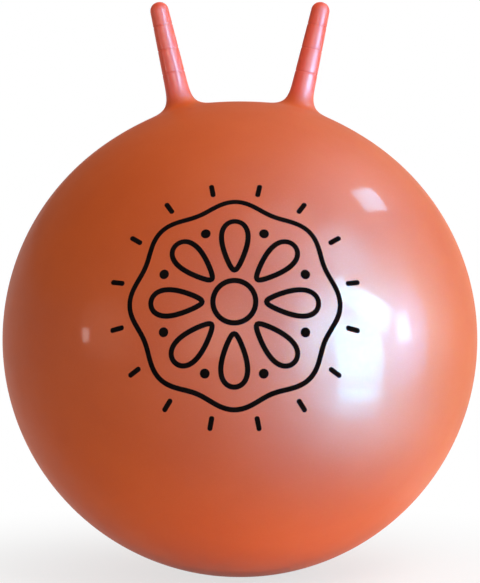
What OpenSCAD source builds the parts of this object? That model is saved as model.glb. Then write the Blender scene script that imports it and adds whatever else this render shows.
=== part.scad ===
// Hopper ball: a pumped-up moulded ball with two horn grips and a plugged air valve.
// Millimetres, +Z up. The origin is on the floor under the middle of the ball, and the front faces -Y.

/* [Ball] */
// Diameter of the ball when it is pumped up
ball_d = 550; // [450:5:650]
// Thickness of the moulded skin
skin_wall = 1; // [0.8:0.1:2]
// Diameter of the flat patch that the ball rests on
floor_patch_d = 80; // [50:1:110]

/* [Horns] */
// Angle at the ball's centre between upright and the middle of a horn's root
horn_angle = 14.2; // [12.5:0.1:25]
// Angle between upright and a horn's own axis
horn_lean = 12.7; // [8:0.1:25]
// Length of a horn from the ball's surface to its tip
horn_length = 128; // [95:1:160]
// Diameter of a horn's cone at the ball's surface
horn_root_d = 28.5; // [24:0.5:34]
// Diameter of a horn's round tip
horn_tip_d = 21; // [16:0.5:23]
// Wall of a hollow horn
horn_wall = 2.5; // [2:0.1:4]
// Radius of the fillet between a horn and the ball
root_fillet = 18; // [10:1:24]
// Height of the plain neck between the fillet and the grip
neck_h = 2; // [1:0.5:6]
// Depth of the bend's centre below the edge where the grip begins
bend_depth = 14; // [12:0.5:20]

/* [Grip rings] */
// Number of moulded rings on each grip
ring_count = 3; // [0:1:5]
// Distance from a horn's tip to its first ring
ring_first = 28; // [15:1:40]
// Distance from one ring to the next
ring_pitch = 28; // [10:1:40]
// Width of a ring's groove
ring_w = 2.4; // [1:0.1:5]
// Depth of a ring's groove
ring_depth = 0.4; // [0.2:0.05:0.8]

/* [Valve] */
// Diameter of the hole in the skin that the valve seat fills
valve_hole_d = 26; // [24:0.5:34]
// Diameter of the valve seat's flange behind the skin
valve_flange_d = 42; // [38:1:54]
// Thickness of the flange at its edge
valve_flange_t = 1.6; // [1:0.1:3]
// Depth of the valve seat from the ball's surface to its inner end
valve_depth = 18; // [14:0.5:26]
// Diameter of the valve seat's inner end
valve_boss_d = 18; // [15:0.5:22]
// Diameter of the air bore
valve_bore_d = 9; // [7:0.5:11]
// Diameter of the plug's head
plug_head_d = 16; // [14:0.5:18]
// Thickness of the plug's head
plug_head_t = 2.4; // [1.8:0.1:3.5]
// Length of the plug's stem below its head
plug_stem_l = 17; // [13:0.5:20]
// Diameter of the plug's stem between its ribs
plug_core_d = 7.2; // [4:0.1:8]
// Number of sealing ribs on the plug's stem
plug_rib_count = 3; // [1:1:4]
// Height of one sealing rib
plug_rib_h = 2.2; // [1:0.1:3]
// Radius of the notch that lets a fingernail under the plug's head
nail_notch_r = 3.5; // [2:0.1:4]

/* [Fits] */
// Gap on the round seat between a horn's root and its grip
seat_gap = 0.3; // [0.2:0.05:0.5]
// Gap between pieces that are welded together on the ball
weld_gap = 0.1; // [0.05:0.05:0.2]
// Clearance round the plug's ribs in the bore
plug_fit = 0.1; // [0.05:0.05:0.2]
// Clearance round and under the plug's head
plug_head_gap = 0.3; // [0.2:0.05:0.5]
// Depth of the plug's head below the ball's surface
plug_sink = 0.3; // [0:0.1:1]

/* [Hidden] */
$fn = 128;
// Facets of a circle as large as the ball, of which the valve shows only the crown
ball_fn = 256;
left = -1;
right = 1;
skin_colour = "darkorange";
plug_colour = "ivory";
// How far a cut or a working outline runs past the shape that it trims
overrun = 5;
// How far a round outline laps the straight or round one that it runs into
lap = 0.005;

// Ball
ball_r = ball_d / 2;
inner_r = ball_r - skin_wall;
ball_z = sqrt(pow(ball_r, 2) - pow(floor_patch_d / 2, 2));

// Horn outline in a plane through its axis: x from the axis, y from the ball's centre
root_r = horn_root_d / 2;
tip_r = horn_tip_d / 2;
tip_y = ball_r + horn_length - tip_r;
taper = (root_r - tip_r) / (tip_y - ball_r);
slant = sqrt(1 + pow(taper, 2));
function horn_r(y) = root_r - taper * (y - ball_r);

// Centre of the fillet, which touches the ball and the horn's tapered side
fillet_side = root_r + root_fillet * slant + taper * ball_r;
fillet_reach = ball_r + root_fillet;
fillet_root = pow(slant * fillet_reach, 2) - pow(fillet_side, 2);
fillet_y = (fillet_side * taper + sqrt(fillet_root)) / pow(slant, 2);
fillet_c = [fillet_side - taper * fillet_y, fillet_y];
to_horn = [-1, -taper] / slant;
foot_angle = atan2(fillet_c.x, fillet_c.y);
foot_clear_angle = foot_angle + asin(weld_gap / ball_r);

// The grip begins at edge_y, on a round seat about the centre of the bend
fillet_top_y = fillet_c.y + root_fillet * to_horn.y;
edge_y = fillet_top_y + neck_h;
bend_y = edge_y - bend_depth;
seat_r = norm([horn_r(edge_y), bend_depth]);
neck_top_y = edge_y + overrun;

// Rings
ring_r = (pow(ring_w / 2, 2) + pow(ring_depth, 2)) / (2 * ring_depth);
ring_places = [for (i = [0 : 1 : ring_count - 1]) tip_y + tip_r - ring_first - i * ring_pitch];

// Valve outline in a plane through its axis, with y from the ball's centre
bore_r = valve_bore_d / 2;
neck_r = valve_hole_d / 2 - weld_gap;
flange_r = valve_flange_d / 2;
flange_top_r = inner_r - weld_gap;
flange_y = sqrt(pow(flange_top_r, 2) - pow(flange_r, 2)) - valve_flange_t;
boss_y = ball_r - valve_depth;
head_y = ball_r - plug_sink - plug_head_t;
recess_y = head_y - plug_head_gap;
recess_r = plug_head_d / 2 + plug_head_gap;
rib_r = bore_r - plug_fit;
core_r = plug_core_d / 2;
stem_y = head_y - plug_stem_l;
rib_pitch = plug_stem_l / (plug_rib_count + 1);

module at_ball() {
    translate([0, 0, ball_z]) children();
}

module at_root(side) {
    at_ball() rotate([0, side * horn_angle, 0]) children();
}

module at_bend(side) {
    at_root(side)
        translate([0, 0, bend_y])
            rotate([0, side * (horn_lean - horn_angle), 0])
                children();
}

module at_valve() {
    at_ball() rotate([-90, 0, 0]) children();
}

// The ball, cut flat where it stands at the height given
module standing_ball(r, floor_z) {
    difference() {
        at_ball() sphere(r);
        translate([-ball_d, -ball_d, floor_z - ball_d]) cube([2 * ball_d, 2 * ball_d, ball_d]);
    }
}

// What fills the hole in the skin at a horn's root
module root_opening() {
    opening_h = ball_r + overrun;
    cylinder(h = opening_h, r1 = 0, r2 = opening_h * tan(foot_clear_angle));
}

module ball_skin() {
    color(skin_colour)
        difference() {
            standing_ball(ball_r, 0);
            standing_ball(inner_r, skin_wall);
            at_root(left) root_opening();
            at_root(right) root_opening();
            at_valve() cylinder(h = ball_r + overrun, d = valve_hole_d);
        }
}

// The root's outer side: the foot, the fillet and the neck
module root_outside() {
    fillet_top = fillet_c + root_fillet * to_horn;
    difference() {
        polygon([[0, 0], fillet_c, fillet_top, [horn_r(neck_top_y), neck_top_y], [0, neck_top_y]]);
        translate(fillet_c) circle(root_fillet + lap);
    }
}

// The hollow in the root, which follows its outer side at the wall's thickness
module root_inside() {
    inside_fillet = root_fillet + horn_wall;
    inside_top = fillet_c + inside_fillet * to_horn;
    inside_r = horn_r(neck_top_y) - horn_wall * slant;
    clear_x = fillet_c.x + inside_fillet + overrun;
    difference() {
        polygon([
            [-overrun, 0],
            [clear_x, 0],
            [clear_x, fillet_c.y],
            fillet_c,
            inside_top,
            [inside_r, neck_top_y],
            [inside_r, neck_top_y + overrun],
            [-overrun, neck_top_y + overrun]
        ]);
        translate(fillet_c) circle(inside_fillet + lap);
    }
}

// What lies outside the round seat, above the fillet
module above_seat() {
    difference() {
        translate([-overrun, fillet_top_y]) square([2 * root_r, neck_top_y + overrun - fillet_top_y]);
        translate([0, bend_y]) circle(seat_r);
    }
}

module horn_root(side) {
    color(skin_colour)
        at_root(side)
            rotate_extrude()
                difference() {
                    root_outside();
                    root_inside();
                    above_seat();
                }
}

// A horn's tapered outline with its round tip, drawn in by inset
module horn_outline(inset) {
    foot_r = horn_r(bend_y) - inset;
    end_r = tip_r - inset;
    polygon([[0, bend_y], [foot_r, bend_y], [end_r, tip_y], [0, tip_y]]);
    intersection() {
        translate([0, tip_y]) circle(end_r + lap);
        translate([0, tip_y - tip_r]) square([2 * tip_r, 2 * tip_r + overrun]);
    }
}

// A ring lies on the grip where its groove clears the grip's lower edge
module ring_grooves() {
    for (y = ring_places)
        if (y > edge_y + 2 * ring_w)
            translate([horn_r(y) + ring_r - ring_depth, y]) circle(ring_r);
}

module horn_grip(side) {
    color(skin_colour)
        at_bend(side)
            translate([0, 0, -bend_y])
                rotate_extrude()
                    difference() {
                        horn_outline(0);
                        horn_outline(horn_wall);
                        translate([0, bend_y]) circle(seat_r + seat_gap);
                        ring_grooves();
                    }
}

// Neck, flange and tapered boss of the valve seat
module valve_outline() {
    intersection() {
        circle(ball_r, $fn = ball_fn);
        translate([0, flange_y]) square([neck_r, ball_r]);
    }
    intersection() {
        circle(flange_top_r, $fn = ball_fn);
        translate([0, flange_y]) square([flange_r, ball_r]);
    }
    polygon([[0, boss_y], [valve_boss_d / 2, boss_y], [neck_r, flange_y + lap], [0, flange_y + lap]]);
}

module valve_seat() {
    color(skin_colour)
        at_valve()
            difference() {
                rotate_extrude()
                    difference() {
                        valve_outline();
                        translate([-overrun, boss_y - overrun]) square([bore_r + overrun, ball_r]);
                        translate([-overrun, recess_y]) square([recess_r + overrun, ball_r]);
                    }
                translate([0, recess_r, recess_y]) cylinder(h = ball_r, r = nail_notch_r);
            }
}

// One sealing rib, with its middle at the height given
module rib_outline(y) {
    half_h = plug_rib_h / 2;
    crest_h = plug_rib_h / 6;
    polygon([
        [0, y - half_h],
        [core_r, y - half_h],
        [rib_r, y - crest_h],
        [rib_r, y + crest_h],
        [core_r, y + half_h],
        [0, y + half_h]
    ]);
}

module valve_plug() {
    stem_end_r = core_r * 2 / 3;
    color(plug_colour)
        at_valve()
            rotate_extrude() {
                intersection() {
                    circle(ball_r - plug_sink, $fn = ball_fn);
                    translate([0, head_y]) square([plug_head_d / 2, ball_r]);
                }
                polygon([
                    [0, stem_y],
                    [stem_end_r, stem_y],
                    [core_r, stem_y + plug_rib_h],
                    [core_r, head_y + plug_head_t / 2],
                    [0, head_y + plug_head_t / 2]
                ]);
                for (i = [1 : plug_rib_count]) rib_outline(stem_y + i * rib_pitch);
            }
}

ball_skin();
horn_root(left);  // left_horn_root
horn_root(right);  // right_horn_root
horn_grip(left);  // left_horn_grip
horn_grip(right);  // right_horn_grip
valve_seat();
valve_plug();
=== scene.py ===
import math

import bmesh
import bpy
import numpy as np
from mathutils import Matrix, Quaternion, Vector


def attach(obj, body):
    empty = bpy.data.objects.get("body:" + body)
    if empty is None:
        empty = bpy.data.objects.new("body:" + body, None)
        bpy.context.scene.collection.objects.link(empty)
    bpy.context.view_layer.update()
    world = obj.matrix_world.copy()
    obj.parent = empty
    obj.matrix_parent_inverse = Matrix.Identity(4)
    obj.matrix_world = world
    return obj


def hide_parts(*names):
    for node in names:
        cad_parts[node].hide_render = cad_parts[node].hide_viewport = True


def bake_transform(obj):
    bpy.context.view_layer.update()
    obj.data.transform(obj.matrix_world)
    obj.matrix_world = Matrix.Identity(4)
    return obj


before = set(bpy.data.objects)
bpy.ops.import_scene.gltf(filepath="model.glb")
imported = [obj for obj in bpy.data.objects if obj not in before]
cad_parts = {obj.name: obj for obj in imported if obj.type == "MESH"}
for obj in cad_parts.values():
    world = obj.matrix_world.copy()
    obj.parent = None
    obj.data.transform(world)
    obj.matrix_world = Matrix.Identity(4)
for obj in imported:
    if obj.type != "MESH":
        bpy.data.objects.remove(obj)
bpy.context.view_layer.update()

# Sizes in millimetres, as in the construction
BALL_R = 275.0
PATCH_R = 40.0
BALL_Z = math.sqrt(BALL_R ** 2 - PATCH_R ** 2)
CENTRE = np.array([0.0, 0.0, BALL_Z])
SKIN = 1.0
HORN_ANGLE = math.radians(14.2)
HORN_LEAN = math.radians(12.7)
HORN_LENGTH = 128.0
ROOT_R = 14.25
TIP_R = 10.5
HORN_WALL = 2.5
BEND_Y = 278.70
TIP_Y = BALL_R + HORN_LENGTH - TIP_R
TAPER = (ROOT_R - TIP_R) / (TIP_Y - BALL_R)
RING_TOPS = (28.0, 56.0, 84.0)
RING_W = 3.0
RING_DEPTH = 0.4
VALVE_HOLE_R = 13.0

# Looks: how softly a horn runs into the ball, and how far its root lifts the skin round it
SOFTNESS = 31.0
LIFT = 2.6
LIFT_ANGLE = math.radians(11.0)
FOOT_R = 48.5
FOOT_BALL_R = BALL_R + LIFT * 0.5
FLOOR_SOFTNESS = 4.0
MM = 0.001

# Mould line: its width and height, and the radius on a horn at which the width is measured
BEAD_W = 1.3
BEAD_H = 0.22
BEAD_AT_R = 13.0


# Shape of the skin
def unit(v):
    return v / np.linalg.norm(v, axis=-1, keepdims=True)


def tilted(side, angle):
    return np.array([side * math.sin(angle), 0.0, math.cos(angle)])


ROOT_AXES = {side: tilted(side, HORN_ANGLE) for side in (-1, 1)}
LEAN_AXES = {side: tilted(side, HORN_LEAN) for side in (-1, 1)}
BENDS = {side: CENTRE + BEND_Y * ROOT_AXES[side] for side in (-1, 1)}


def lift(directions):
    total = np.zeros(len(directions))
    for axis in ROOT_AXES.values():
        angle = np.arccos(np.clip(directions @ axis, -1, 1))
        total += np.exp(-(angle / LIFT_ANGLE) ** 2)
    return LIFT * total


def ball_distance(p):
    v = p - CENTRE
    n = np.linalg.norm(v, axis=1)
    return n - BALL_R - lift(v / n[:, None])


def cone_distance(p, side):
    axis = LEAN_AXES[side]
    v = p - BENDS[side]
    s = v @ axis
    r = np.linalg.norm(v - s[:, None] * axis, axis=1)
    height = TIP_Y - BEND_Y
    start_r = ROOT_R - TAPER * (BEND_Y - BALL_R)
    b = (start_r - TIP_R) / height
    a = math.sqrt(1 - b * b)
    along = a * s - b * r
    side_d = a * r + b * s - start_r
    tip_d = np.hypot(r, s - height) - TIP_R
    foot_d = np.hypot(r, s) - start_r
    d = np.where(along > a * height, tip_d, np.where(along < 0, foot_d, side_d))
    for top in RING_TOPS:
        near = (s - (height + TIP_R - top)) / (RING_W / 2)
        d = d + RING_DEPTH * np.where(np.abs(near) < 1, np.cos(near * math.pi / 2) ** 2, 0)
    return d


def skin_distance(p, side):
    a = ball_distance(p)
    b = cone_distance(p, side)
    h = np.maximum(SOFTNESS - np.abs(a - b), 0) / SOFTNESS
    return np.minimum(a, b) - h ** 3 * SOFTNESS / 6


def gradient(f, p, step=0.05):
    out = np.zeros_like(p)
    for k in range(3):
        d = np.zeros(3)
        d[k] = step
        out[:, k] = f(p + d) - f(p - d)
    return unit(out)


# Makes an object from points in millimetres, with smooth faces and given normals
def mesh_object(name, points, faces, normals=None, material=None):
    mesh = bpy.data.meshes.new(name)
    mesh.from_pydata((np.asarray(points) * MM).tolist(), [], [list(map(int, f)) for f in faces])
    mesh.update()
    mesh.polygons.foreach_set("use_smooth", [True] * len(mesh.polygons))
    if normals is not None:
        mesh.normals_split_custom_set_from_vertices(np.asarray(normals).tolist())
    obj = bpy.data.objects.new(name, mesh)
    bpy.context.scene.collection.objects.link(obj)
    if material:
        mesh.materials.append(material)
    return obj


# Horns: a grid of columns round the axis and rows up it, solved onto the skin
HORN_COLUMNS = 160
BEAD_STEPS = (-1.0, -0.6, -0.25, 0.0, 0.25, 0.6, 1.0)
BEAD_CLEAR = 1.6
BEAD_FADE_ROWS = 8
BEAD_TIP_ANGLE = 0.5
AXIS_TURNS_FROM, AXIS_TURNS_TO = 262.0, 300.0
NEAREST, FARTHEST = 1.0, 70.0
HALVINGS = 36
FLARE_R, FLARE_FADE = 34.0, 5.5
HEIGHTS_TRIED = 4000
ROW_STEP, RING_STEP = 1.9, 0.3
RING_REACH = 0.8
TIP_ROWS = 26
INNER_ROW_EVERY = 6
WALL_THICKENS_ROWS = 30


def horn_columns():
    plain = [2 * math.pi * i / HORN_COLUMNS for i in range(HORN_COLUMNS)]
    half = BEAD_W / 2 / BEAD_AT_R
    near = [k * math.pi + half * t for k in (0, 1) for t in BEAD_STEPS]
    clear = [a for a in plain if abs(math.remainder(a, math.pi)) > half * BEAD_CLEAR]
    return np.array(sorted(a % (2 * math.pi) for a in clear + near))


COLUMNS = horn_columns()


def spine(side, y):
    """Point on the horn's middle line and the direction of its axis at a distance from the ball's centre."""
    share = np.clip((y - AXIS_TURNS_FROM) / (AXIS_TURNS_TO - AXIS_TURNS_FROM), 0, 1)
    share = share * share * (3 - 2 * share)
    axis = unit((1 - share) * ROOT_AXES[side] + share * LEAN_AXES[side])
    if y <= BEND_Y:
        return CENTRE + y * ROOT_AXES[side], axis
    return BENDS[side] + (y - BEND_Y) * LEAN_AXES[side], axis


def solve_row(side, origin, axis, polar=math.pi / 2):
    """One row of points, where rays from the middle line leave the skin."""
    e1 = unit(np.array([side * axis[2], 0.0, -side * axis[0]]))
    e2 = np.array([0.0, 1.0, 0.0])
    ring = np.cos(COLUMNS)[:, None] * e1 + np.sin(COLUMNS)[:, None] * e2
    rays = math.sin(polar) * ring + math.cos(polar) * axis
    low = np.full(len(COLUMNS), NEAREST)
    high = np.full(len(COLUMNS), FARTHEST)
    for _ in range(HALVINGS):
        mid = (low + high) / 2
        inside = skin_distance(origin + mid[:, None] * rays, side) < 0
        low = np.where(inside, mid, low)
        high = np.where(inside, high, mid)
    return origin + ((low + high) / 2)[:, None] * rays


def foot_y():
    return math.sqrt(FOOT_BALL_R ** 2 - FOOT_R ** 2)


def row_heights():
    """Heights along the horn, close together where the outline turns and at the rings."""
    ys = np.linspace(foot_y(), TIP_Y, HEIGHTS_TRIED)
    flare = FLARE_R * np.exp(-(ys - foot_y()) / FLARE_FADE)
    radius = np.maximum(ROOT_R - TAPER * (ys - BALL_R), 0) + flare
    length = np.concatenate([[0], np.cumsum(np.hypot(np.diff(ys), np.diff(radius)))])
    step = np.full(len(ys), ROW_STEP)
    for top in RING_TOPS:
        ring_y = TIP_Y + TIP_R - top
        step = np.where(np.abs(ys - ring_y) < RING_W * RING_REACH, RING_STEP, step)
    count = np.concatenate([[0], np.cumsum(np.diff(length) / step[1:])])
    wanted = np.linspace(0, count[-1], int(count[-1]) + 1)
    return np.interp(wanted, count, ys)


def bead(points, normals, row_share):
    """Lifts the mould line along the two columns that lie in the mould's parting plane."""
    off = np.abs(np.array([math.remainder(a, math.pi) for a in COLUMNS])) * BEAD_AT_R / (BEAD_W / 2)
    height = BEAD_H * np.where(off < 1, np.cos(off * math.pi / 2) ** 2, 0) * row_share
    return points + normals * height[:, None]


def build_horn(side, name, material):
    """A hollow horn. Returns it with the outer and the inner edge of its foot."""
    rows, normals = [], []
    for i, y in enumerate(row_heights()):
        row = solve_row(side, *spine(side, y))
        n = gradient(lambda p: skin_distance(p, side), row)
        rows.append(bead(row, n, min(1.0, i / BEAD_FADE_ROWS)))
        normals.append(n)
    normals[0] = gradient(ball_distance, rows[0])
    tip, axis = spine(side, TIP_Y)
    for polar in np.linspace(math.pi / 2, 0, TIP_ROWS)[1:-1]:
        row = solve_row(side, tip, axis, polar)
        n = gradient(lambda p: skin_distance(p, side), row)
        rows.append(bead(row, n, 1.0 if polar > BEAD_TIP_ANGLE else 0.0))
        normals.append(n)
    apex = tip + TIP_R * axis
    m = len(COLUMNS)
    points = [p for row in rows for p in row] + [apex]
    vectors = [v for row in normals for v in row] + [axis]
    faces = []
    for i in range(len(rows) - 1):
        for j in range(m):
            k = (j + 1) % m
            faces.append((i * m + j, i * m + k, (i + 1) * m + k, (i + 1) * m + j))
    top = (len(rows) - 1) * m
    faces += [(top + j, top + (j + 1) % m, len(points) - 1) for j in range(m)]
    # Inner wall
    picks = list(range(0, len(rows), INNER_ROW_EVERY))
    if picks[-1] != len(rows) - 1:
        picks.append(len(rows) - 1)
    base = len(points)
    for i in picks:
        wall = SKIN + (HORN_WALL - SKIN) * min(1.0, i / WALL_THICKENS_ROWS)
        points += list(rows[i] - wall * normals[i])
        vectors += list(-normals[i])
    inner_apex = len(points)
    points.append(apex - HORN_WALL * axis)
    vectors.append(-axis)
    for a in range(len(picks) - 1):
        for j in range(m):
            k = (j + 1) % m
            faces.append((base + (a + 1) * m + j, base + (a + 1) * m + k, base + a * m + k, base + a * m + j))
    last = base + (len(picks) - 1) * m
    faces += [(last + (j + 1) % m, last + j, inner_apex) for j in range(m)]
    faces += [(base + j, base + (j + 1) % m, (j + 1) % m, j) for j in range(m)]
    if side < 0:
        faces = [tuple(reversed(f)) for f in faces]
    obj = mesh_object(name, np.array(points), faces, np.array(vectors), material)
    return obj, rows[0], rows[0] - SKIN * normals[0]


# Ball: a fine sphere with round openings, which share their edges with the horns and the valve
# Two edges of the coarsest sphere, in radians
TWO_EDGES = 2.3
# Room round an opening in which points are deleted, and in which its ragged edge is looked for, in two edges
CLEAR_OF_LOOP, EDGE_REACH = 0.45, 2.5


def soft_floor(p):
    z = p[:, 2]
    h = np.maximum(FLOOR_SOFTNESS - np.abs(z), 0) / FLOOR_SOFTNESS
    out = p.copy()
    out[:, 2] = np.maximum(z, 0) + h ** 3 * FLOOR_SOFTNESS / 6
    return out


def shell(level, inset, openings):
    """One wall of the ball. Each opening is (axis, angle, loop of points); the loop becomes the edge."""
    bm = bmesh.new()
    bmesh.ops.create_icosphere(bm, subdivisions=level, radius=1.0)
    spacing = TWO_EDGES / 2 ** (level - 1)
    gone = []
    for v in bm.verts:
        d = np.array(v.co.normalized())
        for axis, angle, _ in openings:
            if math.acos(max(-1, min(1, float(d @ axis)))) < angle + spacing * CLEAR_OF_LOOP:
                gone.append(v)
                break
    bmesh.ops.delete(bm, geom=gone, context="VERTS")
    directions = unit(np.array([v.co[:] for v in bm.verts]))
    places = soft_floor(CENTRE + (BALL_R - inset + lift(directions))[:, None] * directions)
    for v, p in zip(bm.verts, places):
        v.co = Vector(p)
    loops = []
    for axis, angle, loop in openings:
        edge = []
        for e in bm.edges:
            if e.is_boundary:
                mid = np.array(((e.verts[0].co + e.verts[1].co) / 2)[:]) - CENTRE
                if float(unit(mid) @ axis) > math.cos(angle + spacing * EDGE_REACH):
                    edge.append(e)
        ring = [bm.verts.new(Vector(p)) for p in loop]
        ring_edges = [bm.edges.new((ring[i], ring[(i + 1) % len(ring)])) for i in range(len(ring))]
        bmesh.ops.bridge_loops(bm, edges=edge + ring_edges)
        loops.append(ring)
    bmesh.ops.triangulate(bm, faces=[f for f in bm.faces if len(f.verts) > 4])
    bm.verts.index_update()
    points = np.array([v.co[:] for v in bm.verts])
    faces = []
    for f in bm.faces:
        ids = [v.index for v in f.verts]
        middle = points[ids].mean(axis=0) - CENTRE
        normal = np.cross(points[ids[1]] - points[ids[0]], points[ids[2]] - points[ids[0]])
        if float(normal @ middle) < 0:
            ids.reverse()
        faces.append(ids)
    loop_ids = [[v.index for v in ring] for ring in loops]
    bm.free()
    return points, faces, loop_ids


def circle(axis, radius, distance, count):
    e1 = unit(np.cross(axis, [0.0, 0.0, 1.0]))
    e2 = np.cross(axis, e1)
    angles = np.arange(count) * 2 * math.pi / count
    return CENTRE + distance * axis + radius * (np.cos(angles)[:, None] * e1 + np.sin(angles)[:, None] * e2)


VALVE_AXIS = np.array([0.0, 1.0, 0.0])
VALVE_POINTS = 96
# Rounded edge of the valve hole: how far each ring stands out from the hole, and how deep it lies
LIP = 0.6
LIP_RINGS = ((0.35, 0.06), (0.12, 0.2), (0.0, 0.45))
OUTER_LEVEL, INNER_LEVEL = 7, 5
NEAR_FLOOR = 12.0


def build_ball(name, material, feet):
    """The hollow ball. Its openings take the edges of the horns' feet and of the valve hole."""
    foot_angle = math.asin(FOOT_R / FOOT_BALL_R)
    out_r = VALVE_HOLE_R + LIP
    valve_angle = math.asin(out_r / BALL_R)
    lip = circle(VALVE_AXIS, out_r, math.sqrt(BALL_R ** 2 - out_r ** 2), VALVE_POINTS)
    inner_depth = math.sqrt((BALL_R - SKIN) ** 2 - VALVE_HOLE_R ** 2)
    valve_in = circle(VALVE_AXIS, VALVE_HOLE_R, inner_depth, VALVE_POINTS)
    outer_open = [(ROOT_AXES[s], foot_angle, feet[s][0]) for s in (-1, 1)]
    outer_open.append((VALVE_AXIS, valve_angle, lip))
    inner_open = [(ROOT_AXES[s], foot_angle, feet[s][1]) for s in (-1, 1)]
    inner_open.append((VALVE_AXIS, valve_angle, valve_in))
    points, faces, outer_loops = shell(OUTER_LEVEL, 0.0, outer_open)
    inner_points, inner_faces, inner_loops = shell(INNER_LEVEL, SKIN, inner_open)
    base = len(points)
    all_points = list(points) + list(inner_points)
    all_faces = faces + [[base + i for i in reversed(f)] for f in inner_faces]
    for (axis, _, _), outer_loop, inner_loop in zip(outer_open, outer_loops, inner_loops):
        chain = [outer_loop]
        if axis is VALVE_AXIS:
            for out, drop in LIP_RINGS:
                r = VALVE_HOLE_R + out
                depth = math.sqrt(BALL_R ** 2 - r ** 2) - drop
                chain.append(list(range(len(all_points), len(all_points) + VALVE_POINTS)))
                all_points += list(circle(VALVE_AXIS, r, depth, VALVE_POINTS))
        chain.append([base + i for i in inner_loop])
        for lower, upper in zip(chain[:-1], chain[1:]):
            n = len(lower)
            for j in range(n):
                k = (j + 1) % n
                all_faces.append([lower[j], lower[k], upper[k], upper[j]])
    all_points = np.array(all_points)
    mesh_probe = bpy.data.meshes.new("probe")
    mesh_probe.from_pydata(all_points.tolist(), [], all_faces)
    bm = bmesh.new()
    bm.from_mesh(mesh_probe)
    bmesh.ops.recalc_face_normals(bm, faces=bm.faces)
    if bm.calc_volume(signed=True) < 0:
        bmesh.ops.reverse_faces(bm, faces=bm.faces)
    bm.to_mesh(mesh_probe)
    bm.free()
    mesh_probe.update()
    normals = np.array([v.vector[:] for v in mesh_probe.vertex_normals])
    all_faces = [list(p.vertices) for p in mesh_probe.polygons]
    bpy.data.meshes.remove(mesh_probe)
    clear = points[:, 2] > NEAR_FLOOR
    exact = gradient(ball_distance, points)
    normals[: len(points)][clear] = exact[clear]
    return mesh_object(name, all_points, all_faces, normals, material)


# Printed lines: flat ribbons that lie on the ball, drawn about the middle of its front
PRINT_TURN = math.radians(-1.2)
PRINT_TILT = math.radians(11.0)
PRINT_DIRECTION = unit(np.array([math.sin(PRINT_TURN), -math.cos(PRINT_TILT), math.sin(PRINT_TILT)]))
PRINT_RIGHT = unit(np.cross(PRINT_DIRECTION, [0.0, 0.0, -1.0]))
PRINT_UP = np.cross(PRINT_DIRECTION, PRINT_RIGHT)
PRINT_LINE = 5.6
INK = 0.1
# Cross-sections of a line and of a dot, as shares of the half width and of the ink's height
LINE_PROFILE = ((-1.0, -0.04), (-0.97, 0.5), (-0.88, 1.0), (0.0, 1.0), (0.88, 1.0), (0.97, 0.5), (1.0, -0.04))
DOT_PROFILE = ((0.35, 1.0), (0.7, 1.0), (0.93, 1.0), (0.985, 0.5), (1.0, -0.04))
DOT_POINTS = 48
CLOSED_STEP, OPEN_STEP = 1.6, 0.7
PETAL_POINTS, RING_POINTS = 240, 720

# Rosette: a ring in the middle, petals with dots between them, a wavy ring, and rays round it
PETALS, RAYS = 8, 16
MIDDLE_RING_R = 22.0
PETAL_FROM, PETAL_TO, PETAL_SPREAD = 33.0, 88.0, 15.5
PETAL_INNER, PETAL_WIDENS = 0.45, 0.75
DOT_AT, DOT_R = 80.0, 5.2
WAVY_RING_R, WAVE = 107.5, 4.5
RAY_FROM, RAY_TO = 121.0, 138.0


def on_ball(flat, height):
    """Wraps flat points, measured from the middle of the print, round the ball."""
    distance = np.linalg.norm(flat, axis=1)
    safe = np.maximum(distance, 1e-9)
    turn = distance / BALL_R
    sideways = (flat[:, :1] * PRINT_RIGHT + flat[:, 1:] * PRINT_UP) / safe[:, None]
    d = unit(np.cos(turn)[:, None] * PRINT_DIRECTION + np.sin(turn)[:, None] * sideways)
    return CENTRE + (BALL_R + lift(d) + height)[:, None] * d


def resample(path, step, closed):
    path = np.asarray(path, float)
    if closed:
        path = np.vstack([path, path[:1]])
    length = np.concatenate([[0], np.cumsum(np.linalg.norm(np.diff(path, axis=0), axis=1))])
    count = max(8, int(round(length[-1] / step)))
    wanted = np.linspace(0, length[-1], count + 1)
    out = np.column_stack([np.interp(wanted, length, path[:, k]) for k in (0, 1)])
    return (out[:-1] if closed else out), wanted[: len(out) - (1 if closed else 0)], length[-1]


def ribbon(points, faces, path, closed):
    """A printed line along flat points, with round ends where it is open."""
    line, along, total = resample(path, CLOSED_STEP if closed else OPEN_STEP, closed)
    r = PRINT_LINE / 2
    if closed:
        tangent = np.roll(line, -1, axis=0) - np.roll(line, 1, axis=0)
        half = np.full(len(line), r)
    else:
        tangent = np.gradient(line, axis=0)
        to_end = np.minimum(along, total - along)
        half = np.where(to_end < r, np.sqrt(np.maximum(r * r - (r - to_end) ** 2, 0.01)), r)
    tangent = unit(tangent)
    across = np.column_stack([-tangent[:, 1], tangent[:, 0]])
    base = len(points)
    m = len(LINE_PROFILE)
    for x, z in LINE_PROFILE:
        rim = line + across * (half * x)[:, None]
        points.extend(on_ball(rim, np.full(len(line), INK * z)))
    n = len(line)
    for i in range(n if closed else n - 1):
        j = (i + 1) % n
        for k in range(m):
            q = (k + 1) % m
            faces.append((base + k * n + i, base + k * n + j, base + q * n + j, base + q * n + i))
    if not closed:
        faces.append([base + k * n for k in range(m)])
        faces.append([base + k * n + n - 1 for k in reversed(range(m))])


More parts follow.
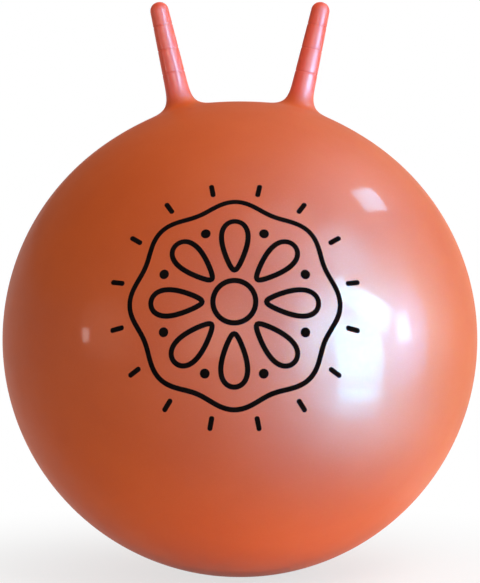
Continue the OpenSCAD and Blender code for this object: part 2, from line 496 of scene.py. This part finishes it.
def dot(points, faces, middle, radius):
    count = DOT_POINTS
    angles = np.arange(count) * 2 * math.pi / count
    base = len(points)
    points.extend(on_ball(np.array([middle]), np.array([INK])))
    for share, z in DOT_PROFILE:
        flat = np.array(middle) + radius * share * np.column_stack([np.cos(angles), np.sin(angles)])
        points.extend(on_ball(flat, np.full(count, INK * z)))
    for j in range(count):
        k = (j + 1) % count
        faces.append((base, base + 1 + j, base + 1 + k))
        for i in range(len(DOT_PROFILE) - 1):
            a = base + 1 + i * count
            faces.append((a + j, a + count + j, a + count + k, a + k))
    last = base + 1 + (len(DOT_PROFILE) - 1) * count
    faces.append([last + j for j in reversed(range(count))])


def polar_path(radius_of):
    a = np.arange(RING_POINTS) * 2 * math.pi / RING_POINTS
    r = np.array([radius_of(t) for t in a])
    return np.column_stack([r * np.sin(a), r * np.cos(a)])


def petal(turn):
    t = np.arange(PETAL_POINTS) * 2 * math.pi / PETAL_POINTS
    share = (1 - np.cos(t)) / 2
    along = PETAL_FROM + (PETAL_TO - PETAL_FROM) * share
    wide = PETAL_SPREAD * np.sin(t) * (PETAL_INNER + PETAL_WIDENS * share)
    c, s = math.cos(turn), math.sin(turn)
    return np.column_stack([wide * c + along * s, along * c - wide * s])


def build_print(name, material):
    points, faces = [], []
    ribbon(points, faces, polar_path(lambda t: MIDDLE_RING_R), True)
    for i in range(PETALS):
        turn = i * 2 * math.pi / PETALS
        ribbon(points, faces, petal(turn), True)
        middle = turn + math.pi / PETALS
        dot(points, faces, (DOT_AT * math.sin(middle), DOT_AT * math.cos(middle)), DOT_R)
    ribbon(points, faces, polar_path(lambda t: WAVY_RING_R + WAVE * math.cos(PETALS * t)), True)
    for i in range(RAYS):
        turn = (i + 0.5) * 2 * math.pi / RAYS
        ends = [(r * math.sin(turn), r * math.cos(turn)) for r in (RAY_FROM, RAY_TO)]
        ribbon(points, faces, ends, False)
    return mesh_object(name, np.array(points), faces, None, material)


# Mould line round the ball, in the plane through both horns
BEAD_PROFILE = ((-1.0, -0.12), (-0.6, 0.45), (-0.25, 0.9), (0.0, 1.0), (0.25, 0.9), (0.6, 0.45), (1.0, -0.12))
BEAD_STEP = 3.0
BEAD_FADE = 6.0
BEAD_END_H, BEAD_END_W = 0.05, 0.4
BEAD_STOPS = math.radians(13.0)


def build_mould_line(name, material):
    points, faces = [], []
    foot = math.asin(FOOT_R / BALL_R)
    side_start = HORN_ANGLE + foot
    side_end = math.pi - BEAD_STOPS
    top = HORN_ANGLE - foot
    for a, b in ((side_start, side_end), (-side_end, -side_start), (-top, top)):
        n = max(24, int(abs(b - a) * BALL_R / BEAD_STEP))
        angles = np.linspace(a, b, n)
        d = np.column_stack([np.sin(angles), np.zeros(n), np.cos(angles)])
        to_end = np.minimum(angles - a, b - angles) * BALL_R
        fade = np.clip(to_end / BEAD_FADE, BEAD_END_H, 1)
        radius = BALL_R + lift(d)
        base = len(points)
        for x, z in BEAD_PROFILE:
            rim = CENTRE + (radius + BEAD_H * z * fade)[:, None] * d
            rim[:, 1] += x * BEAD_W / 2 * (BEAD_END_W + (1 - BEAD_END_W) * fade)
            points.extend(rim)
        m = len(BEAD_PROFILE)
        for i in range(n - 1):
            for k in range(m):
                q = (k + 1) % m
                faces.append((base + k * n + i, base + k * n + i + 1, base + q * n + i + 1, base + q * n + i))
        faces.append([base + k * n for k in range(m)])
        faces.append([base + k * n + n - 1 for k in reversed(range(m))])
    return mesh_object(name, np.array(points), faces, None, material)


# Closed pieces made of strips get their faces turned outwards
def face_out(obj):
    bm = bmesh.new()
    bm.from_mesh(obj.data)
    bmesh.ops.recalc_face_normals(bm, faces=bm.faces)
    bm.to_mesh(obj.data)
    bm.free()
    return obj


# Materials
# The horns' tone is lighter and redder than the ball's, though they are the same plastic: it is a painted
# pink sheen and painted light on the horns
BALL_TONES = ((0.70, 0.096, 0.002), (0.75, 0.112, 0.005))
HORN_TONES_WITH_PAINTED_SHEEN = ((0.94, 0.078, 0.014), (0.98, 0.092, 0.022))
FLECK = (0.82, 0.17, 0.05)
INK_TONES = ((0.006, 0.005, 0.005), (0.012, 0.009, 0.008))
PLUG_TONES = ((0.82, 0.78, 0.68), (0.76, 0.70, 0.58))
BALL_GLOSS, HORN_GLOSS = 0.2, 0.40
BALL_COAT, HORN_COAT = 0.08, 0.14
# Distances in metres from the ball's middle between which the ball's tone turns into the horns' lighter tone,
# which is painted sheen and painted light
HORN_TONE_FROM, HORN_TONE_TO = 0.274, 0.304


def new_material(name):
    material = bpy.data.materials.new(name)
    material.use_nodes = True
    nodes = material.node_tree.nodes
    return material, nodes, material.node_tree.links, nodes["Principled BSDF"]


def noise(nodes, links, coords, scale, detail=2.0, rough=0.5):
    node = nodes.new("ShaderNodeTexNoise")
    node.inputs["Scale"].default_value = scale
    node.inputs["Detail"].default_value = detail
    node.inputs["Roughness"].default_value = rough
    links.new(coords.outputs["Object"], node.inputs["Vector"])
    return node


def remap(nodes, links, source, low, high, to_low, to_high, kind="LINEAR"):
    node = nodes.new("ShaderNodeMapRange")
    node.interpolation_type = kind
    for key, value in (("From Min", low), ("From Max", high), ("To Min", to_low), ("To Max", to_high)):
        node.inputs[key].default_value = value
    links.new(source, node.inputs["Value"])
    return node.outputs["Result"]


def ramp(tree, source, low, high, to_low, to_high):
    return remap(tree.nodes, tree.links, source, low, high, to_low, to_high, "SMOOTHSTEP")


def mix(nodes, links, factor, a, b):
    """Mixes two colours, each a tuple or the output of a node."""
    node = nodes.new("ShaderNodeMix")
    node.data_type = "RGBA"
    links.new(factor, node.inputs["Factor"])
    for key, colour in (("A", a), ("B", b)):
        if isinstance(colour, tuple):
            node.inputs[key].default_value = (*colour, 1)
        else:
            links.new(colour, node.inputs[key])
    return node.outputs["Result"]


def bump(nodes, links, height, distance, strength, before=None):
    node = nodes.new("ShaderNodeBump")
    node.inputs["Distance"].default_value = distance
    node.inputs["Strength"].default_value = strength
    links.new(height, node.inputs["Height"])
    if before:
        links.new(before, node.inputs["Normal"])
    return node.outputs["Normal"]


def pearl_skin(name, with_horn):
    """Pearl plastic, glossier on the thick horns. The horns' lighter, redder tone is a painted pink sheen and
    painted light on the same plastic.
    """
    material, nodes, links, shader = new_material(name)
    coords = nodes.new("ShaderNodeTexCoord")
    from_middle = nodes.new("ShaderNodeVectorMath")
    from_middle.operation = "DISTANCE"
    links.new(coords.outputs["Object"], from_middle.inputs[0])
    from_middle.inputs[1].default_value = (0, 0, BALL_Z * MM)
    on_horn = ramp(material.node_tree, from_middle.outputs["Value"], HORN_TONE_FROM, HORN_TONE_TO, 0, 1)
    cloud = noise(nodes, links, coords, 7.0, 3.0)
    flakes = noise(nodes, links, coords, 1400.0, 1.0)
    waves = noise(nodes, links, coords, 11.0, 1.0)
    peel = noise(nodes, links, coords, 260.0, 2.0)
    wear = noise(nodes, links, coords, 38.0, 6.0, 0.65)
    clouds = remap(nodes, links, cloud.outputs["Fac"], 0.35, 0.65, 0, 1)
    ball_tone = mix(nodes, links, clouds, *BALL_TONES)
    # The horns' tone is painted sheen and painted light, blended in towards the horns
    horn_tone_with_painted_sheen = mix(nodes, links, clouds, *HORN_TONES_WITH_PAINTED_SHEEN)
    tone = mix(nodes, links, on_horn, ball_tone, horn_tone_with_painted_sheen)
    flecks = remap(nodes, links, flakes.outputs["Fac"], 0.58, 0.75, 0, 0.35)
    links.new(mix(nodes, links, flecks, tone, FLECK), shader.inputs["Base Color"])
    links.new(remap(nodes, links, wear.outputs["Fac"], 0.3, 0.7, 0.57, 0.63), shader.inputs["Roughness"])
    shader.inputs["IOR"].default_value = 1.5
    shader.inputs["Specular IOR Level"].default_value = BALL_GLOSS
    shader.inputs["Specular Tint"].default_value = (0.40, 0.90, 1.0, 1)
    shader.inputs["Coat Weight"].default_value = BALL_COAT
    if with_horn:
        gloss = remap(nodes, links, on_horn, 0, 1, BALL_GLOSS, HORN_GLOSS)
        links.new(gloss, shader.inputs["Specular IOR Level"])
        coat = remap(nodes, links, on_horn, 0, 1, BALL_COAT, HORN_COAT)
        links.new(coat, shader.inputs["Coat Weight"])
    shader.inputs["Coat Roughness"].default_value = 0.075
    swell = bump(nodes, links, waves.outputs["Fac"], 0.012, 0.15)
    links.new(bump(nodes, links, peel.outputs["Fac"], 0.0004, 0.10, swell), shader.inputs["Normal"])
    links.new(swell, shader.inputs["Coat Normal"])
    return material


def ink():
    material, nodes, links, shader = new_material("print_ink")
    coords = nodes.new("ShaderNodeTexCoord")
    patch = noise(nodes, links, coords, 55.0, 5.0, 0.6)
    fine = noise(nodes, links, coords, 900.0, 2.0)
    patches = remap(nodes, links, patch.outputs["Fac"], 0.4, 0.75, 0, 1)
    links.new(mix(nodes, links, patches, *INK_TONES), shader.inputs["Base Color"])
    links.new(remap(nodes, links, patch.outputs["Fac"], 0.3, 0.7, 0.5, 0.65), shader.inputs["Roughness"])
    shader.inputs["Specular IOR Level"].default_value = 0.0
    links.new(bump(nodes, links, fine.outputs["Fac"], 0.0002, 0.15), shader.inputs["Normal"])
    return material


def plug_plastic():
    material, nodes, links, shader = new_material("plug_plastic")
    coords = nodes.new("ShaderNodeTexCoord")
    patch = noise(nodes, links, coords, 120.0, 4.0)
    fine = noise(nodes, links, coords, 1500.0, 2.0)
    patches = remap(nodes, links, patch.outputs["Fac"], 0.35, 0.7, 0, 1)
    links.new(mix(nodes, links, patches, *PLUG_TONES), shader.inputs["Base Color"])
    links.new(remap(nodes, links, patch.outputs["Fac"], 0.3, 0.7, 0.3, 0.45), shader.inputs["Roughness"])
    links.new(bump(nodes, links, fine.outputs["Fac"], 0.0003, 0.15), shader.inputs["Normal"])
    return material


skin_material = pearl_skin("pearl_skin", False)
horn_material = pearl_skin("pearl_horn", True)
ink_material = ink()
plug_material = plug_plastic()

# Pieces
feet = {}
for side, name, node_names in (
    (-1, "left_horn_skin", ("left_horn_root", "left_horn_grip")),
    (1, "right_horn_skin", ("right_horn_root", "right_horn_grip")),
):
    piece, outer_foot, inner_foot = build_horn(side, name, horn_material)
    feet[side] = (outer_foot, inner_foot)
    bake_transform(piece)
    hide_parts(*node_names)

ball = build_ball("pumped_skin", skin_material, feet)
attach(ball, "ball")
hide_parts("ball_skin")

mould_line = face_out(build_mould_line("mould_line", skin_material))
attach(mould_line, "ball")

printed = face_out(build_print("printed_rosette", ink_material))
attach(printed, "ball")

for node_name, material in (("valve_seat", skin_material), ("valve_plug", plug_material)):
    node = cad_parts[node_name]
    node.data.materials.clear()
    node.data.materials.append(material)


# Studio: a pale floor, a white surround and soft lights
def white_seen(tree):
    """1 for rays from the camera, off gloss and through clear things, and 0 for other rays."""
    path = tree.nodes.new("ShaderNodeLightPath")
    first = tree.nodes.new("ShaderNodeMath")
    second = tree.nodes.new("ShaderNodeMath")
    first.operation = second.operation = "MAXIMUM"
    tree.links.new(path.outputs["Is Camera Ray"], first.inputs[0])
    tree.links.new(path.outputs["Is Glossy Ray"], first.inputs[1])
    tree.links.new(first.outputs[0], second.inputs[0])
    tree.links.new(path.outputs["Is Transmission Ray"], second.inputs[1])
    return second.outputs[0]


# Heights, as the upward part of a direction, between which the surround turns from white to grey
WHITE_BELOW, GREY_ABOVE = 0.13, 0.26
SURROUND = 0.30
FILL = 0.24
FLOOR_HALF = 12.0
FLOOR_Z = -0.0002
FLOOR_TONE = 0.93
# Distances in metres from the foot between which the floor fades to white, and how white it is at the foot
SHADOW_FROM, SHADOW_TO = 0.05, 0.6
WHITE_AT_FOOT = 0.7
world = bpy.data.worlds.new("studio")
bpy.context.scene.world = world
world.use_nodes = True
tree = world.node_tree
tree.nodes.clear()
fill = tree.nodes.new("ShaderNodeBackground")
fill.inputs["Color"].default_value = (1.0, 0.98, 0.95, 1)
fill.inputs["Strength"].default_value = FILL
toward = tree.nodes.new("ShaderNodeTexCoord")
height = tree.nodes.new("ShaderNodeSeparateXYZ")
tree.links.new(toward.outputs["Generated"], height.inputs[0])
level = ramp(tree, height.outputs["Z"], WHITE_BELOW, GREY_ABOVE, 1.0, SURROUND)
white = tree.nodes.new("ShaderNodeBackground")
white.inputs["Color"].default_value = (1, 1, 1, 1)
tree.links.new(level, white.inputs["Strength"])
either = tree.nodes.new("ShaderNodeMixShader")
output = tree.nodes.new("ShaderNodeOutputWorld")
tree.links.new(white_seen(tree), either.inputs[0])
tree.links.new(fill.outputs[0], either.inputs[1])
tree.links.new(white.outputs[0], either.inputs[2])
tree.links.new(either.outputs[0], output.inputs["Surface"])

floor_mesh = bpy.data.meshes.new("floor")
corners = [(x * FLOOR_HALF, y * FLOOR_HALF, FLOOR_Z) for x, y in ((-1, -1), (1, -1), (1, 1), (-1, 1))]
floor_mesh.from_pydata(corners, [], [(0, 1, 2, 3)])
floor = bpy.data.objects.new("floor", floor_mesh)
bpy.context.scene.collection.objects.link(floor)
floor_material = bpy.data.materials.new("pale_floor")
floor_material.use_nodes = True
tree = floor_material.node_tree
tree.nodes.clear()
matt = tree.nodes.new("ShaderNodeBsdfDiffuse")
matt.inputs["Color"].default_value = (FLOOR_TONE, FLOOR_TONE, FLOOR_TONE, 1)
plain = tree.nodes.new("ShaderNodeEmission")
plain.inputs["Color"].default_value = (1, 1, 1, 1)
plain.inputs["Strength"].default_value = 1.0
place = tree.nodes.new("ShaderNodeNewGeometry")
away = tree.nodes.new("ShaderNodeVectorMath")
away.operation = "LENGTH"
tree.links.new(place.outputs["Position"], away.inputs[0])
seen = tree.nodes.new("ShaderNodeMath")
seen.operation = "MULTIPLY"
tree.links.new(white_seen(tree), seen.inputs[0])
whiter = ramp(tree, away.outputs["Value"], SHADOW_FROM, SHADOW_TO, WHITE_AT_FOOT, 1.0)
tree.links.new(whiter, seen.inputs[1])
either = tree.nodes.new("ShaderNodeMixShader")
output = tree.nodes.new("ShaderNodeOutputMaterial")
tree.links.new(seen.outputs[0], either.inputs[0])
tree.links.new(matt.outputs[0], either.inputs[1])
tree.links.new(plain.outputs[0], either.inputs[2])
tree.links.new(either.outputs[0], output.inputs["Surface"])
floor_mesh.materials.append(floor_material)

MIDDLE = Vector((0.0, 0.0, BALL_Z * MM))


def heading(azimuth, elevation):
    """Direction from the ball's middle. Azimuth turns from the front towards the right."""
    a, e = math.radians(azimuth), math.radians(elevation)
    return Vector((math.sin(a) * math.cos(e), -math.cos(a) * math.cos(e), math.sin(e)))


def soft_light(name, azimuth, elevation, distance, wide, tall, radiance):
    """A rectangular light that faces the ball's middle."""
    data = bpy.data.lights.new(name, "AREA")
    data.shape = "RECTANGLE"
    data.size, data.size_y = wide, tall
    data.energy = radiance * math.pi * wide * tall
    light = bpy.data.objects.new(name, data)
    bpy.context.scene.collection.objects.link(light)
    back = heading(azimuth, elevation)
    light.location = MIDDLE + back * distance
    light.rotation_mode = "QUATERNION"
    light.rotation_quaternion = back.to_track_quat("Z", "Y")
    light.visible_camera = False
    return light


CARD_Z = 0.012
DAYLIGHT = (0.15, 0.68, 1.0)
BLUE_SKY = (0.12, 0.44, 1.0)
WHITE = (1, 1, 1)
WARM = (1.0, 0.96, 0.88)


def window(
    name, azimuth, elevation, distance, wide, tall, radiance, aim,
    roll=0, colour=DAYLIGHT, half_spread=22, reach=BALL_R,
):
    """A light that shows in the gloss alone. It shines at the place on the ball where it is seen."""
    light = soft_light(name, azimuth, elevation, distance, wide, tall, radiance)
    light.data.color = colour
    half = math.radians(half_spread)
    light.data.spread = 2 * half
    light.data.energy *= 1 - half / math.tan(half)
    back = light.location - (MIDDLE + heading(*aim) * reach * MM)
    light.rotation_quaternion = back.to_track_quat("Z", "Y") @ Quaternion((0, 0, 1), math.radians(roll))
    light.visible_diffuse = False
    return light


def soft_round(light):
    light.data.shape = "ELLIPSE"
    light.data.energy *= math.pi / 4


def floor_card(name, azimuth, distance, wide, tall, radiance):
    """A light that lies on the floor and shines up."""
    light = soft_light(name, azimuth, 0, distance, wide, tall, radiance)
    a = math.radians(azimuth)
    light.location = (math.sin(a) * distance, -math.cos(a) * distance, CARD_Z)
    light.rotation_mode = "XYZ"
    light.rotation_euler = (math.pi, 0, a)


# Soft boxes light the ball, and cards on the floor lift its underside
soft_light("side_box", 100, 8, 2.4, 1.4, 2.0, 2.25)
soft_light("front_top_box", 30, 50, 2.4, 1.2, 1.2, 5.4)
soft_light("side_top_box", 100, 55, 2.4, 1.2, 1.2, 2.0)
floor_card("front_card", 28, 0.30, 0.60, 0.24, 0.30)
floor_card("side_card", 80, 0.45, 0.5, 0.4, 0.6)
floor_card("foot_card", 0, 0.17, 0.36, 0.14, 0.1)
# Panes of a large window at the front right
window("window_low", 45, -4.0, 0.62, 0.20, 0.33, 260, (27.5, -1), 10)
window("window_high", 50, 13.0, 0.66, 0.25, 0.10, 250, (29.6, 9), -34)
window("window_small", 40, 20.3, 0.66, 0.045, 0.085, 180, (23, 14), -14)
window("window_side", 66, 5, 0.66, 0.08, 0.11, 150, (39, 5), 6)
# Daylight round the window, which makes the haze in the pearl
soft_round(window("window_top", 50, 36, 0.9, 0.46, 0.36, 66, (27, 24), half_spread=17))
soft_round(window("window_glow", 36, 3, 0.95, 0.66, 0.62, 132, (20, 3)))
soft_round(window("window_glow_side", 72, 2, 0.95, 0.5, 0.66, 85, (40, 2), colour=BLUE_SKY))
window("window_foot", 46, -20, 0.62, 0.5, 0.12, 100, (30, -22))
# A high window on the right, and one for the gloss of each horn
window("skylight", 102, 46, 2.5, 0.60, 0.33, 110, (38, 35), -36)
window("right_horn_window", 57.9, 14.4, 0.998, 0.45, 0.36, 270, (90, 75.5), half_spread=12, reach=339)
window("left_horn_window", 37.6, 33.9, 0.985, 0.45, 0.36, 170, (-90, 75.5), half_spread=12, reach=339)
# The room behind the camera, and a far window on the left
soft_round(window("room", -8, 4, 2.6, 2.4, 1.9, 15.0, (0, 0), colour=WARM))
window("far_window", -72.7, 2.6, 2.5, 0.20, 0.20, 40, (-36, 3.5), colour=WHITE)
soft_round(window("far_glow", -62, 4, 2.5, 1.4, 1.2, 4.0, (-31, 3.5), colour=WHITE))

# Camera at the photo's angle
CAMERA_DISTANCE = 2.2
SENSOR = 36.0
ELEVATION = math.radians(3.0)
PIXELS_WIDE, PIXELS_TALL = 480, 583
BALL_AT = (239.9, 338.9)
BALL_SEEN_R = 237.4
focal = BALL_SEEN_R * math.sqrt(CAMERA_DISTANCE ** 2 - (BALL_R * MM) ** 2) / (BALL_R * MM)
camera_data = bpy.data.cameras.new("camera")
camera_data.sensor_fit = "AUTO"
camera_data.sensor_width = SENSOR
camera_data.lens = focal * SENSOR / PIXELS_TALL
camera = bpy.data.objects.new("camera", camera_data)
bpy.context.scene.collection.objects.link(camera)
camera.location = MIDDLE + CAMERA_DISTANCE * Vector((0, -math.cos(ELEVATION), math.sin(ELEVATION)))
pitch = -ELEVATION + math.atan((BALL_AT[1] - PIXELS_TALL / 2) / focal)
yaw = -math.atan((PIXELS_WIDE / 2 - BALL_AT[0]) / focal)
camera.rotation_euler = (math.pi / 2 + pitch, 0, yaw)
bpy.context.scene.camera = camera

bpy.context.scene.view_settings.view_transform = "Standard"
